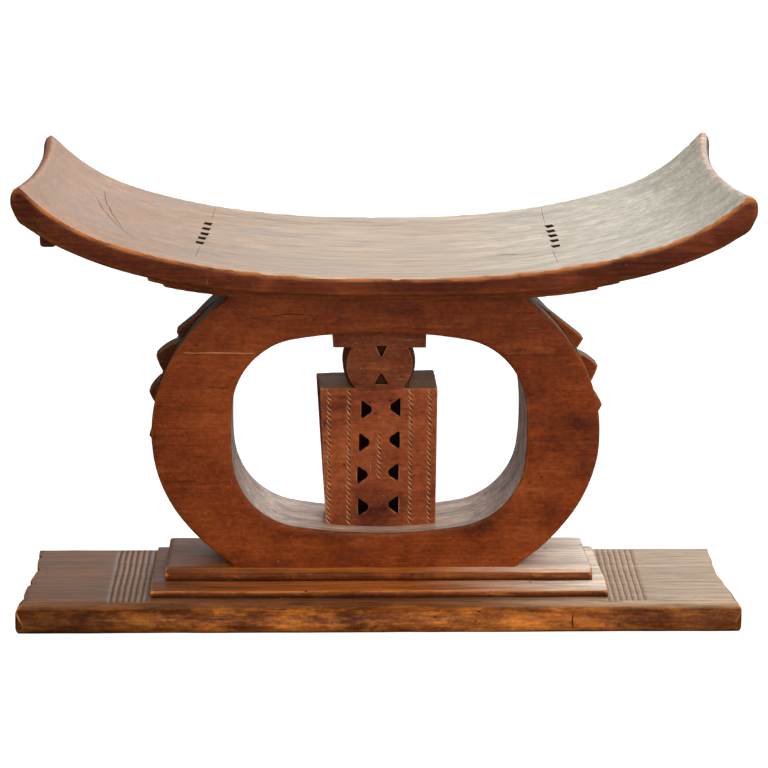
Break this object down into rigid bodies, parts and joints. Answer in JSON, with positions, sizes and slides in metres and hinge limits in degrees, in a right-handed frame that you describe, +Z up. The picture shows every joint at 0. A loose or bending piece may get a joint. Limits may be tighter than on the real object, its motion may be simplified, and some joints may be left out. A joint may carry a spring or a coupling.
{
  "type": "carved wooden stool",
  "caption": "Ashanti stool carved from wood, with a curved saddle seat, an oval ring support with scalloped shoulders, a pierced central column and a stepped slab foot.",
  "frame": {"origin": "on the floor, at the middle of the footprint of the whole stool", "axes": "+X to the sitter's left along the length of the seat and foot, as the picture shows it to the right; +Y from the front face to the back; +Z up"},
  "size_m": [0.6102, 0.3, 0.3951],
  "materials": {
    "carved_wood": "hand-polished reddish-brown hardwood, worn lighter along the edges",
    "worn_wood": "hardwood rubbed pale and smooth by sitting, brown along its rim"
  },
  "bodies": {
    "root": {"foot": "carved_wood", "lower_step": "carved_wood", "upper_step": "carved_wood", "ring": "carved_wood", "left_crest": "carved_wood", "right_crest": "carved_wood", "column_box": "carved_wood", "column_drum": "carved_wood", "column_capital": "carved_wood", "seat_lower_band": "carved_wood", "seat_upper_band": "carved_wood", "seat_lug": "carved_wood", "seat": "worn_wood"}
  },
  "joints": []
}
